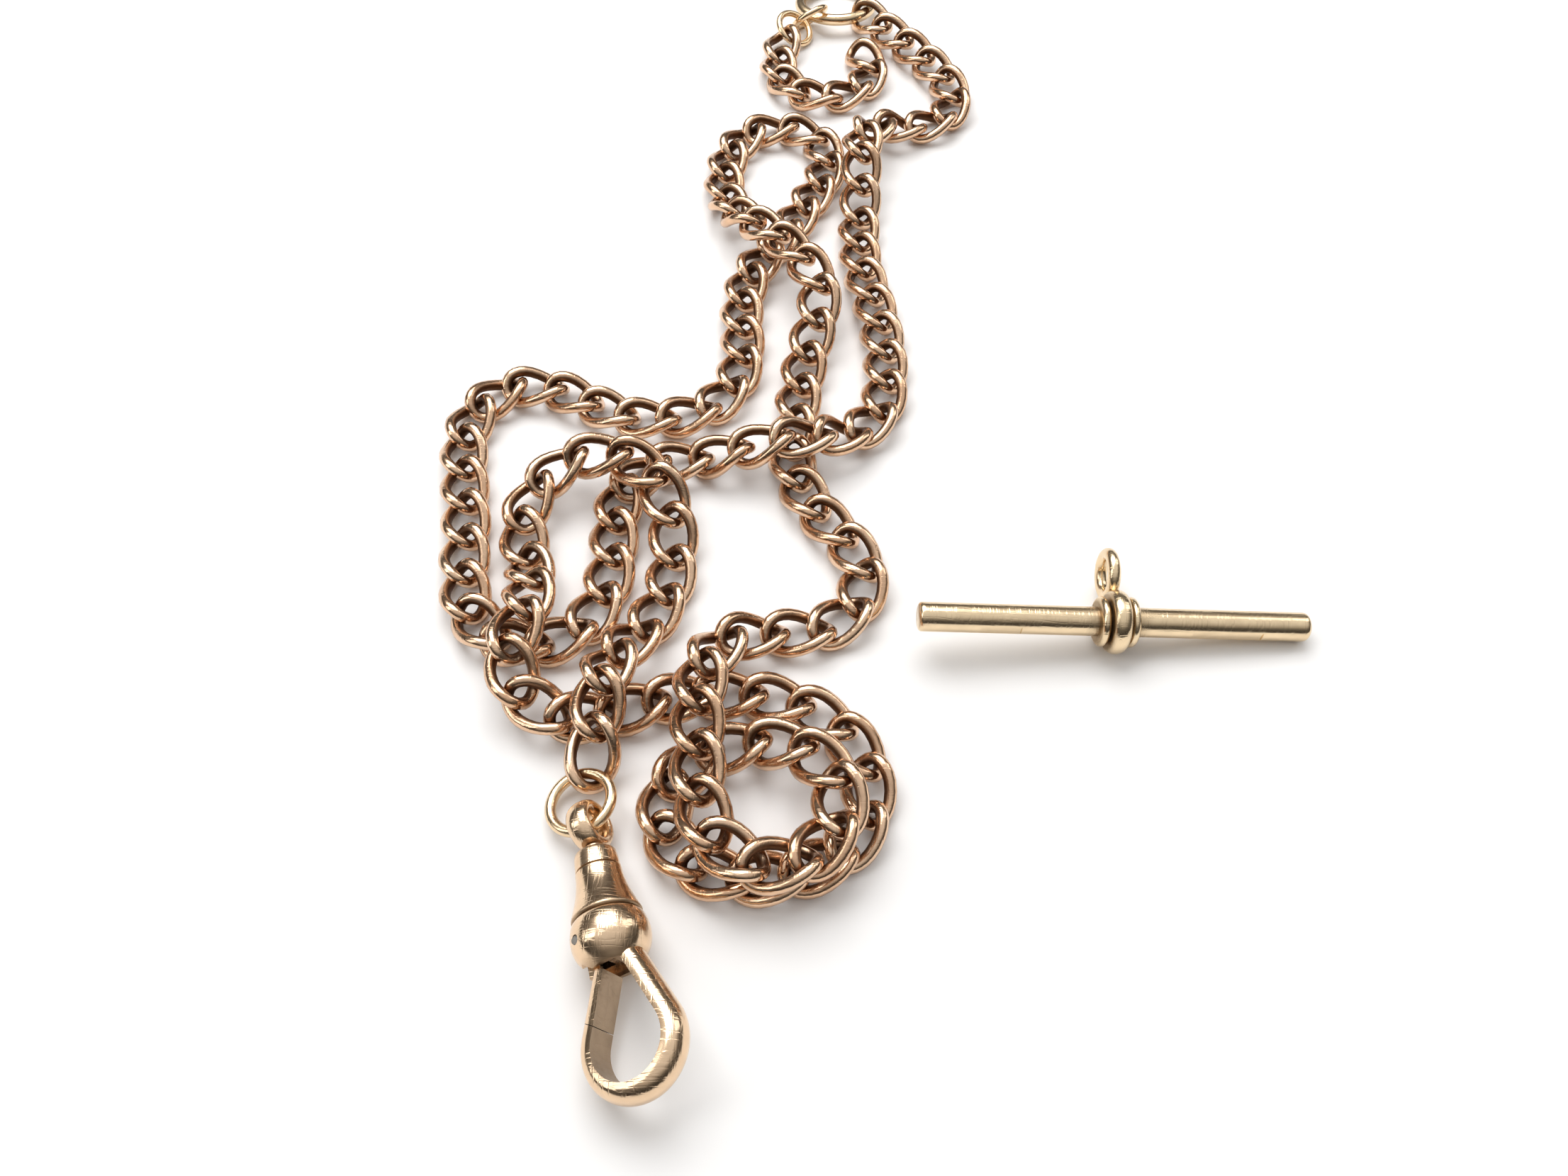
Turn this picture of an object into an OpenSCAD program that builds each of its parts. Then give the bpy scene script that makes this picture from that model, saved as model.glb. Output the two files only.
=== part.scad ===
// Pocket watch chain: curb links in a tangle, swivel clip at one end, ring and short drop at the
// other, and a loose T-bar beside it. Units are millimetres. The table is z = 0 and +Z is up.

/* [Curb links] */
// Outside length of one link along the chain
link_length = 7.0; // [6:0.1:9]
// Outside width of one link
link_width = 4.8; // [4.2:0.1:6]
// Diameter of the link wire
link_wire = 1.1; // [0.8:0.05:1.3]
// Twist from the middle of a link to each end, in degrees
link_twist = 45; // [30:1:50]
// Distance between the pivots of one link
link_pitch = 4.2; // [3.8:0.05:5]

/* [Rings] */
// Outside diameter of the jump ring on the clip
jump_ring_diameter = 6.3; // [5:0.1:8]
// Wire of the jump ring
jump_ring_wire = 0.95; // [0.6:0.05:1.2]
// Outside diameter of the large end ring
end_ring_diameter = 10.6; // [9:0.1:14]
// Wire of the large end ring
end_ring_wire = 1.4; // [1.2:0.05:2.2]
// Outside diameter of each small ring
small_ring_diameter = 5.2; // [4.6:0.1:6.5]
// Wire of each small ring
small_ring_wire = 0.8; // [0.5:0.05:1]

/* [Clip] */
// Length of the whole clip, swivel eye to hook
clip_length = 25; // [22:0.5:32]
// Largest diameter of the round body that holds the gate
bulb_diameter = 6.2; // [5.4:0.1:8]
// Diameter of the bell where the swivel enters it
neck_diameter = 3.4; // [3:0.1:4.5]
// Outside width of the hook
hook_width = 8.6; // [7.4:0.1:11]
// Width of the hook's band, across the hook's plane
band_width = 2.8; // [2:0.1:3.4]
// Thickness of the hook's band, in the hook's plane
band_thickness = 1.35; // [1:0.05:1.7]
// Outside diameter of the swivel eye
eye_outer = 4.4; // [3.8:0.1:5]
// Thickness of the swivel eye's band
eye_band = 1.1; // [0.8:0.05:1.3]
// Diameter of the swivel stem
stem_diameter = 1.6; // [1:0.1:2]
// Diameter of the gate pin
pin_diameter = 0.7; // [0.5:0.05:1]
// Radial clearance of the swivel stem and of the gate pin
running_gap = 0.04; // [0.02:0.01:0.1]

/* [T-bar] */
// Length of the bar
bar_length = 35.2; // [28:0.2:45]
// Diameter of the bar
bar_diameter = 2.6; // [2:0.1:3.5]
// Diameter of the middle collar ring
collar_diameter = 5.7; // [4.5:0.1:8]
// Outside diameter of the eye on the collar
eye_diameter = 4.9; // [4:0.1:6]
// Wire of the eye
eye_wire = 1.15; // [0.8:0.05:1.5]

/* [Hidden] */
// Number of segments on every round part
smooth = 48;
// Rings of points along one link, and points around its wire
link_rings = 14;
wire_sides = 6;
// How square the ends of a link are, 0 for an ellipse
squareness = 0.15;
// The whole layout is moved by this much, so the origin is at the middle of the base
frame_shift = [-6.54, -96.9, 0.01];

// Lay of the chain: x, y, height of the link centres above the table, roll. The first point is at
// the jump ring, and the route runs over itself wherever the height passes 4.
main_route = [
  [-16, 51.5, 1.7, 0], [-15.6, 55.2, 3.8, 0], [-15.5, 58.8, 4.6, 0], [-15, 62, 3.6, 0],
  [-13.2, 65, 1.9, 0], [-11.2, 68, 1.4, 0], [-10.2, 72, 1.4, 0], [-10.2, 75.5, 1.6, 2],
  [-10.9, 80.2, 3.3, -3], [-13.6, 83.3, 4.4, -20], [-17.4, 84.5, 4.6, -11], [-20.9, 83.8, 3.6, 2],
  [-23.8, 81.3, 2.3, 4], [-24.8, 77.2, 1.5, 12], [-23.6, 73.7, 1.5, 7], [-22.6, 70.1, 3.2, -6],
  [-22.7, 66.1, 4.4, -5], [-23.8, 63.7, 4.2, -8], [-23.4, 60.1, 3.3, -3], [-21.2, 57.5, 2.3, 9],
  [-17.3, 56.9, 1.6, 14], [-13.6, 58.2, 1.4, 6], [-9.4, 59.4, 1.4, 2], [-5, 59.6, 1.4, 0],
  [-1, 59.4, 1.4, 0], [3, 57.8, 1.4, 0], [6, 55, 1.4, 0], [7.2, 51, 1.4, 0], [6.4, 47, 1.4, 0],
  [3.6, 44, 1.4, 0], [-0.2, 42.9, 1.4, 0], [-4.4, 42.8, 1.4, 0], [-8.5, 44.5, 1.4, 0],
  [-10.2, 48.6, 1.4, 0], [-8.5, 52.7, 1.4, 0], [-4.4, 54.5, 1.6, 0], [-0.4, 54.1, 3, 3],
  [3.2, 52, 4.2, 6], [5, 48, 4.4, 8], [3, 43.8, 4.4, 6], [-1, 42.2, 4.4, 3], [-5.1, 43.9, 4.4, 0],
  [-6.8, 48, 4.4, 0], [-7, 52, 4.4, 0], [-7.2, 56, 4.4, 0], [-7.2, 59.5, 4.4, 0], [-6.2, 63.2, 3.2, 0],
  [-3, 66, 1.9, 0], [1, 65.6, 1.4, 0], [5, 66.9, 1.4, 0], [7.4, 70.2, 1.4, 0], [7.2, 74.2, 1.4, 0],
  [4.6, 77.8, 1.4, 0], [2, 81.2, 1.4, 0], [0.5, 86.5, 1.4, 0], [1, 90.5, 1.4, 0], [1.5, 94.5, 1.4, 0],
  [2, 98.5, 1.6, 0], [3, 102.5, 2.4, 0], [4, 106.5, 3.4, 0], [3.2, 110, 4.2, 0], [1, 113, 4.4, 0],
  [-1.8, 116.2, 4.4, 0], [-4.7, 119.7, 3.4, 0], [-6.4, 123.5, 1.7, 0], [-7, 128, 1.4, 0],
  [-6.6, 132, 1.4, 0], [-4.8, 136.2, 1.4, 0], [-0.6, 138, 1.4, 0], [3.6, 136.2, 1.4, 0],
  [5.2, 132, 1.4, 0], [4.4, 128, 1.4, 0], [2.8, 124.5, 1.4, 0], [1.2, 121, 1.4, 0], [-1, 117, 1.4, 0],
  [-3.5, 113, 1.4, 0], [-4.5, 108.5, 1.4, 0], [-4.5, 104, 1.4, 0], [-4.2, 99.5, 1.4, 0],
  [-5.2, 95.5, 1.4, 0], [-8, 92.3, 1.4, 0], [-12, 91.3, 1.4, 0], [-16, 91.7, 1.4, 0],
  [-20.5, 94, 1.4, 0], [-25.3, 96.2, 1.4, 0], [-29.7, 94.4, 1.4, 0], [-31.5, 90, 1.4, 0],
  [-31.2, 86, 1.4, 0], [-30.5, 82, 1.4, 0], [-29.9, 78, 1.4, 0], [-29.4, 74, 1.4, 0],
  [-29.2, 70.5, 1.4, 0], [-27.3, 66.3, 1.4, 0], [-22.6, 64.4, 1.4, 0], [-17.9, 66.3, 1.4, 0],
  [-16, 71, 1.4, 0], [-15.8, 75, 1.4, 0], [-16, 80, 1.4, 0], [-15.2, 83, 1.4, 0], [-13, 85.2, 1.4, 0],
  [-10, 86, 1.4, 0], [-6.5, 86, 1.8, 0], [-3, 86, 3.6, 0], [0.5, 86.4, 4.4, 0], [4, 87.3, 3.6, 0],
  [7.4, 89.3, 1.8, 3], [9.8, 92.5, 1.4, 4], [10.4, 97, 1.4, 0], [10.4, 101, 1.4, 0], [10, 105, 1.4, 0],
  [9.3, 109, 1.4, 0], [8.4, 113.5, 1.4, 0], [8.2, 118, 1.4, 0], [8.5, 122.5, 1.6, 0],
  [8.8, 126.5, 3.2, 0], [8.8, 130.5, 4.4, 0], [9.6, 134.5, 3.8, 0], [12.4, 137.2, 2.2, 0],
  [16, 137.8, 1.4, 0], [19.5, 139.8, 1.4, -3], [20.8, 143.5, 1.5, -7], [19.6, 147.5, 1.6, -11],
  [17.5, 151, 1.7, -15], [15, 154.5, 1.8, -19], [12.4, 157.6, 1.8, -23], [10, 161, 1.8, -27],
  [9, 162.4, 1.8, -28]
];
// Lay of the short drop chain, from the small rings to its free end
drop_route = [
  [0.2, 156.2, 1.8, 0], [-0.6, 153, 1.4, 0], [-0.9, 149, 1.4, 0], [0.8, 145.3, 1.4, 0],
  [5, 143.5, 1.4, 0], [9.2, 145.3, 1.4, 0], [11, 149.5, 1.4, 0], [9.2, 153.7, 1.4, 0],
  [6.6, 155.4, 1.8, 0]
];

// A point of the smooth curve through a route, between point i and the next
function pick(list, i) = list[min(max(i, 0), len(list) - 1)];
function blend(list, i, t) =
  let (a = pick(list, i - 1), b = pick(list, i), c = pick(list, i + 1), d = pick(list, i + 2))
  0.5 * (2 * b + (c - a) * t + (2 * a - 5 * b + 4 * c - d) * t * t
         + (3 * b - a - 3 * c + d) * t * t * t);
function trace(list) = [
  for (i = [0 : len(list) - 2]) for (k = [0 : 9]) blend(list, i, k / 10),
  list[len(list) - 1]
];
function place(p) = [p[0], p[1], p[2]];
// The pivots of the links: points along the curve, one pitch apart in a straight line
function next_far(curve, from, j) =
  j >= len(curve) ? -1 :
  norm(place(curve[j]) - place(from)) >= link_pitch ? j : next_far(curve, from, j + 1);
function step_to(a, b, from) =
  let (p = place(a) - place(from), q = place(b) - place(a), qa = q * q, qb = 2 * (p * q),
       qc = p * p - link_pitch * link_pitch,
       t = (-qb + sqrt(max(0, qb * qb - 4 * qa * qc))) / (2 * qa))
  a + (b - a) * t;
function walk(curve, from, j) =
  let (k = next_far(curve, from, j))
  k < 0 ? [from] : concat([from], walk(curve, step_to(curve[k - 1], curve[k], from), k));
main_curve = trace(main_route);
drop_curve = trace(drop_route);
main_pivots = walk(main_curve, main_curve[0], 1);
drop_pivots = walk(drop_curve, drop_curve[0], 1);
link_count = len(main_pivots) - 1;

// Frame of a link between two pivots
function unit(v) = v / norm(v);
function link_frame(a, b) =
  let (x = unit(place(b) - place(a)), side = unit(cross([0, 0, 1], x)), top = cross(x, side),
       roll = (a[3] + b[3]) / 2, y = side * cos(roll) + top * sin(roll), z = cross(x, y),
       c = (place(a) + place(b)) / 2)
  [[x[0], y[0], z[0], c[0]], [x[1], y[1], z[1], c[1]], [x[2], y[2], z[2], c[2]], [0, 0, 0, 1]];

// Centre line of one link: a loop with square shoulders, twisted about its long axis
half_long = (link_length - link_wire) / 2;
half_wide = (link_width - link_wire) / 2;
function soft(v) = sign(v) * pow(abs(v), 1 - squareness);
function loop_point(i) =
  let (t = 360 * i / link_rings, x = half_long * soft(cos(t)), w = half_wide * soft(sin(t)),
       a = -link_twist * x / half_long)
  [x, w * cos(a), w * sin(a)];
link_line = [for (i = [0 : link_rings - 1]) loop_point(i)];
function ring_point(i, k) =
  let (c = link_line[i], n = len(link_line), along = unit(link_line[(i + 1) % n]
       - link_line[(i + n - 1) % n]), out = unit(c - along * (c * along)), up = cross(along, out),
       a = 360 * k / wire_sides)
  c + link_wire / 2 * (out * cos(a) + up * sin(a));
link_points = [
  for (i = [0 : link_rings - 1]) for (k = [0 : wire_sides - 1]) ring_point(i, k)
];
function at(i, k) = (i % link_rings) * wire_sides + k % wire_sides;
link_faces = [
  for (i = [0 : link_rings - 1]) for (k = [0 : wire_sides - 1]) for (h = [0, 1])
    h == 0 ? [at(i, k), at(i + 1, k), at(i, k + 1)] : [at(i, k + 1), at(i + 1, k), at(i + 1, k + 1)]
];

module link() {
  polyhedron(link_points, link_faces, convexity = 6);
}

module main_links(first, last) {
  for (i = [first : min(last, link_count - 1)])
    multmatrix(link_frame(main_pivots[i], main_pivots[i + 1])) link();
}

module drop_links(first, last) {
  for (i = [first : min(last, len(drop_pivots) - 2)])
    multmatrix(link_frame(drop_pivots[i], drop_pivots[i + 1])) link();
}

module wire_ring(diameter, wire) {
  rotate_extrude($fn = smooth) translate([(diameter - wire) / 2, 0]) circle(d = wire, $fn = 24);
}

// Places of the rings
jump_centre = [-16.6, 49.25, 1.76];
jump_tilt = [-3.6, -16.5, 0];
ring_centre = [6.74, 163.72, 1.4];
ring_tilt = [-7.2, 0, 0];

// The clip is built along +X from its eye and then laid down at this place, with its hook raised
clip_place = [-16.15, 49, 2.06];
clip_heading = -75.4;
clip_rise = 5;
// Turn of the hook about the swivel, and of the eye about the same line
hook_turn = 26;
eye_turn = -60;
// Stations along the clip
neck_gap = 0.3;
bell_start = eye_outer + neck_gap;
bell_length = 5.9;
bell_end = bell_start + bell_length;
bulb_length = 4;
bulb_end = bell_end + bulb_length;
bore_length = 2;
head_thickness = 0.5;
// The hook's bend: centre, inside radius, and the points where its two arms leave the bulb
bend_radius = hook_width / 2 - band_thickness;
bend_centre = [clip_length - hook_width / 2, 0.3];
back_start = [bulb_end - 0.6, 0.95];
gate_start = [bulb_end + 0.3, -0.4];
// Place of the gate pin, and the slot that the gate's tail turns in
pin_place = [bulb_end - 2.2, -1.6];
slot_half = 0.8;
tail_half = slot_half - 0.1;

function arm_angle(from, side) =
  let (d = bend_centre - from) atan2(side * d[1], d[0]) + asin(bend_radius / norm(d));
function arm_length(from) =
  let (d = bend_centre - from) sqrt(d * d - bend_radius * bend_radius);
back_angle = arm_angle(back_start, 1);
gate_angle = arm_angle(gate_start, -1);
// The oblique joint where the gate meets the hook's tip
joint_place = gate_start + (arm_length(gate_start) - 0.9) * [cos(gate_angle), -sin(gate_angle)];
joint_angle = -36;
joint_gap = 0.06;

// The round half of the band's outline, with its flat face on the inside of the hook
band_outline = [
  for (a = [-90 : 15 : 90]) [band_thickness * cos(a), band_width / 2 * sin(a)]
];

module eye_frame() {
  translate(clip_place) rotate([0, -clip_rise, clip_heading]) children();
}

module clip_frame() {
  eye_frame() rotate([hook_turn, 0, 0]) children();
}

module along_x() {
  rotate([0, 90, 0]) children();
}

module eye_shape() {
  translate([eye_outer / 2, 0, 0]) rotate([eye_turn, 0, 0])
    rotate_extrude($fn = smooth) translate([(eye_outer - eye_band) / 2, 0])
      scale([1, 1.9]) circle(d = eye_band, $fn = 24);
}

module swivel_eye() {
  eye_frame() eye_shape();
}

module swivel_stem() {
  stem_start = eye_outer - eye_band / 2;
  eye_frame() difference() {
    translate([stem_start, 0, 0]) along_x()
      cylinder(d = stem_diameter, h = bell_start + bore_length + 0.05 - stem_start, $fn = smooth);
    eye_shape();
  }
}

module swivel_head() {
  eye_frame() translate([bell_start + bore_length + 0.05, 0, 0]) along_x()
    cylinder(d = stem_diameter + 0.7, h = head_thickness, $fn = smooth);
}

module bell() {
  neck = neck_diameter / 2;
  bore = stem_diameter / 2 + running_gap;
  clip_frame() along_x() rotate_extrude($fn = smooth) polygon([
    [bore, bell_start], [neck - 0.2, bell_start], [neck, bell_start + 0.25],
    [neck + 0.1, bell_start + 1.6], [neck - 0.02, bell_start + 1.7],
    [neck + 0.15, bell_start + 1.85], [neck + 0.3, bell_start + 3],
    [neck + 0.55, bell_start + 4.2], [neck + 0.9, bell_start + 5.2],
    [neck + 1.08, bell_end - 0.25], [neck + 1, bell_end],
    [bore + 0.55, bell_end], [bore + 0.55, bell_start + bore_length],
    [bore, bell_start + bore_length]
  ]);
}

module bulb_shape() {
  r = bulb_diameter / 2;
  along_x() rotate_extrude($fn = smooth) polygon([
    [0, bell_end], [r - 0.5, bell_end], [r - 0.18, bell_end + 0.5], [r, bell_end + 1.3],
    [r - 0.02, bell_end + 2], [r - 0.25, bell_end + 2.8], [r - 0.65, bell_end + 3.4],
    [r - 1.15, bulb_end], [0, bulb_end]
  ]);
}

module gate_bulb() {
  r = bulb_diameter / 2;
  clip_frame() difference() {
    bulb_shape();
    // slot that the gate's tail turns in
    translate([pin_place[0] - 1.1, -r - 0.2, -slot_half]) cube([4.2, r - 0.2, 2 * slot_half]);
    // wider mouth for the gate's band
    translate([bulb_end - 0.7, -r - 0.2, -band_width / 2 - 0.1]) cube([1, r + 0.95, band_width + 0.2]);
    // hole for the gate pin
    translate([pin_place[0], pin_place[1], 0])
      cylinder(d = pin_diameter, h = bulb_diameter + 1, center = true, $fn = smooth);
  }
}

module band(length) {
  along_x() linear_extrude(length) polygon([for (p = band_outline) [-p[1], p[0]]]);
}

// The gate's side of the hook, from the bulb to the bend
module gate_side() {
  translate(gate_start) rotate([0, 0, -gate_angle]) mirror([0, 1, 0])
    band(arm_length(gate_start));
}

// Everything on the tip's side of the oblique joint
module beyond_joint(gap) {
  translate(joint_place) rotate([0, 0, joint_angle]) translate([gap, -5, -3]) cube([8, 10, 6]);
}

module hook_bend() {
  clip_frame() union() {
    difference() {
      translate(back_start) rotate([0, 0, back_angle]) band(arm_length(back_start));
      bulb_shape();
    }
    translate(bend_centre) rotate([0, 0, -90 - gate_angle])
      rotate_extrude(angle = 180 + back_angle + gate_angle, $fn = smooth)
        translate([bend_radius, 0]) polygon(band_outline);
    intersection() {
      gate_side();
      beyond_joint(joint_gap);
    }
  }
}

module gate_arm() {
  clip_frame() difference() {
    gate_side();
    beyond_joint(0);
  }
}

module gate_knuckle() {
  tail_length = gate_start[0] - pin_place[0];
  clip_frame() difference() {
    union() {
      translate([pin_place[0], pin_place[1], -tail_half])
        cylinder(d = pin_diameter + 1, h = 2 * tail_half, $fn = smooth);
      translate([pin_place[0], pin_place[1] - 0.4, -tail_half])
        cube([tail_length, 1, 2 * tail_half]);
    }
    translate([pin_place[0], pin_place[1], 0])
      cylinder(d = pin_diameter + 2 * running_gap, h = 4, center = true, $fn = smooth);
    gate_side();
  }
}

module gate_pin() {
  reach = sqrt(pow(bulb_diameter / 2, 2) - pow(pin_place[1], 2)) - 0.1;
  clip_frame() translate([pin_place[0], pin_place[1], 0])
    cylinder(d = pin_diameter, h = 2 * reach, center = true, $fn = smooth);
}

module gate_spring() {
  clip_frame() translate([pin_place[0] + 0.2, -0.56, -0.5]) cube([1.2, 0.16, 1]);
}

module jump_ring() {
  translate(jump_centre) rotate(jump_tilt) wire_ring(jump_ring_diameter, jump_ring_wire);
}

module end_ring() {
  translate(ring_centre) rotate(ring_tilt) wire_ring(end_ring_diameter, end_ring_wire);
}

module small_ring_outer() {
  translate([3.3, 159.6, 2.1]) rotate([-48, -19, 22]) wire_ring(small_ring_diameter, small_ring_wire);
}

module small_ring_inner() {
  translate([1.35, 157.7, 1.7]) rotate([-23, 24, -74]) wire_ring(small_ring_diameter, small_ring_wire);
}

// The T-bar is built along +X about the middle of its collar
bar_place = [29.2, 66.2, collar_diameter / 2];
bar_heading = 1.5;
bar_lean = asin((collar_diameter - bar_diameter) / bar_length);
eye_rise = 4;
bead_width = 1.7;
side_bead = 0.95;
side_drop = 0.62;
flat_depth = 0.12;

module bar_frame() {
  translate(bar_place) rotate([0, bar_lean, bar_heading]) children();
}

module bar_flat(middle, length) {
  translate([middle - length / 2, -bar_diameter / 2 - 1 + flat_depth, -2]) cube([length, 1, 4]);
}

module bar() {
  r = bar_diameter / 2;
  half = bar_length / 2;
  bar_frame() difference() {
    along_x() rotate_extrude($fn = smooth) polygon([
      [0, -half], [r - 0.2, -half], [r, -half + 0.2], [r, half - 0.55], [r - 0.15, half - 0.18],
      [r - 0.5, half], [0, half]
    ]);
    bar_flat(-10.4, 3.6);
    bar_flat(9.9, 6.4);
  }
}

// A round bead on the bar
module bead(diameter, width) {
  crown = 0.5;
  waist = diameter / 2 - crown;
  along_x() rotate_extrude($fn = smooth) polygon([
    [bar_diameter / 2, -width / 2],
    for (a = [-90 : 22.5 : 90]) [waist + crown * cos(a), width / 2 * sin(a)],
    [bar_diameter / 2, width / 2]
  ]);
}

module collar_middle() {
  bar_frame() bead(collar_diameter, bead_width);
}

module collar_left() {
  bar_frame() translate([-(bead_width + side_bead) / 2, 0, 0])
    bead(collar_diameter - 2 * side_drop, side_bead);
}

module collar_right() {
  bar_frame() translate([(bead_width + side_bead) / 2, 0, 0])
    bead(collar_diameter - 2 * side_drop, side_bead);
}

module bar_eye() {
  reach = collar_diameter / 2 + eye_diameter / 2 - 0.45;
  bar_frame() difference() {
    rotate([eye_rise, 0, 0]) translate([0, reach, 0]) along_x() wire_ring(eye_diameter, eye_wire);
    along_x() cylinder(d = collar_diameter - 0.2, h = 3, center = true, $fn = smooth);
    bead(collar_diameter, bead_width);
  }
}

module rose() {
  color([0.78, 0.55, 0.40]) translate(frame_shift) children();
}

module pale() {
  color([0.84, 0.70, 0.50]) translate(frame_shift) children();
}

module yellow() {
  color([0.80, 0.68, 0.40]) translate(frame_shift) children();
}

module steel() {
  color([0.55, 0.55, 0.55]) translate(frame_shift) children();
}

rose() main_links(8, 13);  // chain_knot_left
rose() main_links(14, 20);  // chain_inner_fall
rose() main_links(21, 27);  // chain_pile_top_row
rose() main_links(28, 34);  // chain_pile_front
rose() main_links(35, 43);  // chain_pile_upper
rose() main_links(44, 51);  // chain_right_loop
rose() main_links(52, 57);  // chain_middle_rise
rose() main_links(58, 63);  // chain_diagonal
rose() main_links(64, 70);  // chain_top_loop
rose() main_links(71, 77);  // chain_left_rise
rose() main_links(78, 82);  // chain_upper_row
rose() main_links(83, 87);  // chain_left_loop_top
rose() main_links(88, 93);  // chain_left_loop_side
rose() main_links(94, 99);  // chain_second_rise
rose() main_links(100, 105);  // chain_lower_row
rose() main_links(106, 113);  // chain_right_rise
rose() main_links(114, 130);  // chain_top_lobe
rose() drop_links(0, 3);  // drop_chain
rose() main_links(0, 0);  // tail_link_1
rose() main_links(1, 1);  // tail_link_2
rose() main_links(2, 2);  // tail_link_3
rose() main_links(3, 3);  // tail_link_4
rose() main_links(4, 4);  // tail_link_5
rose() main_links(5, 5);  // tail_link_6
rose() main_links(6, 6);  // tail_link_7
rose() main_links(7, 7);  // tail_link_8
rose() drop_links(4, 4);  // drop_link_1
rose() drop_links(5, 5);  // drop_link_2
rose() drop_links(6, 6);  // drop_link_3
yellow() jump_ring();
yellow() end_ring();
yellow() small_ring_outer();
yellow() small_ring_inner();
pale() swivel_eye();
pale() swivel_stem();
pale() swivel_head();
pale() bell();
pale() gate_bulb();
pale() hook_bend();
pale() gate_arm();
pale() gate_knuckle();
steel() gate_pin();
steel() gate_spring();
yellow() bar();
yellow() collar_left();
yellow() collar_middle();
yellow() collar_right();
yellow() bar_eye();
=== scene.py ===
# %% [markdown]
# # A pocket watch chain, laid out loosely on a table
# The object is a short curb chain with a swivel clip at one end, and a split of small rings with
# a large ring at the other. A T-bar with three round beads lies beside it. The CAD frame holds
# every part at its real size. This notebook loads that frame, and then models smooth gold
# surfaces for the parts that the eye rests on.

# %% Load the frame
import math
import bmesh
import bpy
from mathutils import Matrix, Vector


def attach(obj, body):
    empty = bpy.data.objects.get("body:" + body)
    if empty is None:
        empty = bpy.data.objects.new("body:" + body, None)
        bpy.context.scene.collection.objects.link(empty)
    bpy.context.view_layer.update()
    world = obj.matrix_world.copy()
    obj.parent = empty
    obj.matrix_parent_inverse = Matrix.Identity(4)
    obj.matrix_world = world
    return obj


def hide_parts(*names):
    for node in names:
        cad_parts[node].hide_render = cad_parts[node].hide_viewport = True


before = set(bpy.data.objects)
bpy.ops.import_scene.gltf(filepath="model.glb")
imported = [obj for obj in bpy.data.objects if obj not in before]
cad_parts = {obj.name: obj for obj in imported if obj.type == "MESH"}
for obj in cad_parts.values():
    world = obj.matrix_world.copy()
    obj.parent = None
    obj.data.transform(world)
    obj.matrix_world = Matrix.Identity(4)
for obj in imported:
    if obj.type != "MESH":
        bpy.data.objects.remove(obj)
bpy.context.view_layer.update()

# %% [markdown]
# The part was drawn in millimetres around the foot of the camera, and then shifted to centre it.
# Each piece here is shaped in those same millimetres, and this one matrix brings it to its
# place in metres. Because the place is in the mesh, every object stays at the origin.

# %% From the drawing's millimetres to the frame
TO_FRAME = Matrix.Scale(0.001, 4) @ Matrix.Translation((-6.54, -96.9, 0.01))
print("camera foot at", tuple(round(v, 5) for v in TO_FRAME @ Vector((0, 0, 0))))


# %% A finished piece
def add_piece(name, bm, body, nodes, material, sharp=40):
    bmesh.ops.remove_doubles(bm, verts=bm.verts, dist=0.0005)
    bmesh.ops.recalc_face_normals(bm, faces=bm.faces)
    bmesh.ops.transform(bm, matrix=TO_FRAME, verts=bm.verts)
    for face in bm.faces:
        face.smooth = True
    mesh = bpy.data.meshes.new(name)
    bm.to_mesh(mesh)
    bm.free()
    mesh.set_sharp_from_angle(angle=math.radians(sharp))
    mesh.materials.append(material)
    piece = bpy.data.objects.new(name, mesh)
    bpy.context.scene.collection.objects.link(piece)
    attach(piece, body)
    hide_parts(*nodes)
    return piece


# %% [markdown]
# Old gold is not one colour. Hands polish the places that stand out, and a brown film of oil and
# tarnish stays where no cloth reaches. The same brown also paints shade into hollows and between
# parts, through the recess input. The film is uneven, so a soft noise breaks it up. Several
# alloys here share the effect, so it is a node group, with its scale and amount as inputs.

# %% Node group helper
def new_group(name, inputs, outputs):
    group = bpy.data.node_groups.new(name, "ShaderNodeTree")
    for label, kind, value in inputs:
        socket = group.interface.new_socket(label, in_out="INPUT", socket_type=kind)
        socket.default_value = value
    for label, kind in outputs:
        group.interface.new_socket(label, in_out="OUTPUT", socket_type=kind)
    return group, group.nodes.new("NodeGroupInput"), group.nodes.new("NodeGroupOutput")


def math_node(tree, operation, a, b, clamp=False):
    node = tree.nodes.new("ShaderNodeMath")
    node.operation = operation
    node.use_clamp = clamp
    for socket, value in zip(node.inputs, (a, b)):
        if isinstance(value, bpy.types.NodeSocket):
            tree.links.new(value, socket)
        else:
            socket.default_value = value
    return node.outputs[0]


def noise_node(tree, vector, scale, detail=3.0, rough=0.55):
    node = tree.nodes.new("ShaderNodeTexNoise")
    node.inputs["Detail"].default_value = detail
    node.inputs["Roughness"].default_value = rough
    tree.links.new(vector, node.inputs["Vector"])
    if isinstance(scale, bpy.types.NodeSocket):
        tree.links.new(scale, node.inputs["Scale"])
    else:
        node.inputs["Scale"].default_value = scale
    return node.outputs["Fac"]
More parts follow.
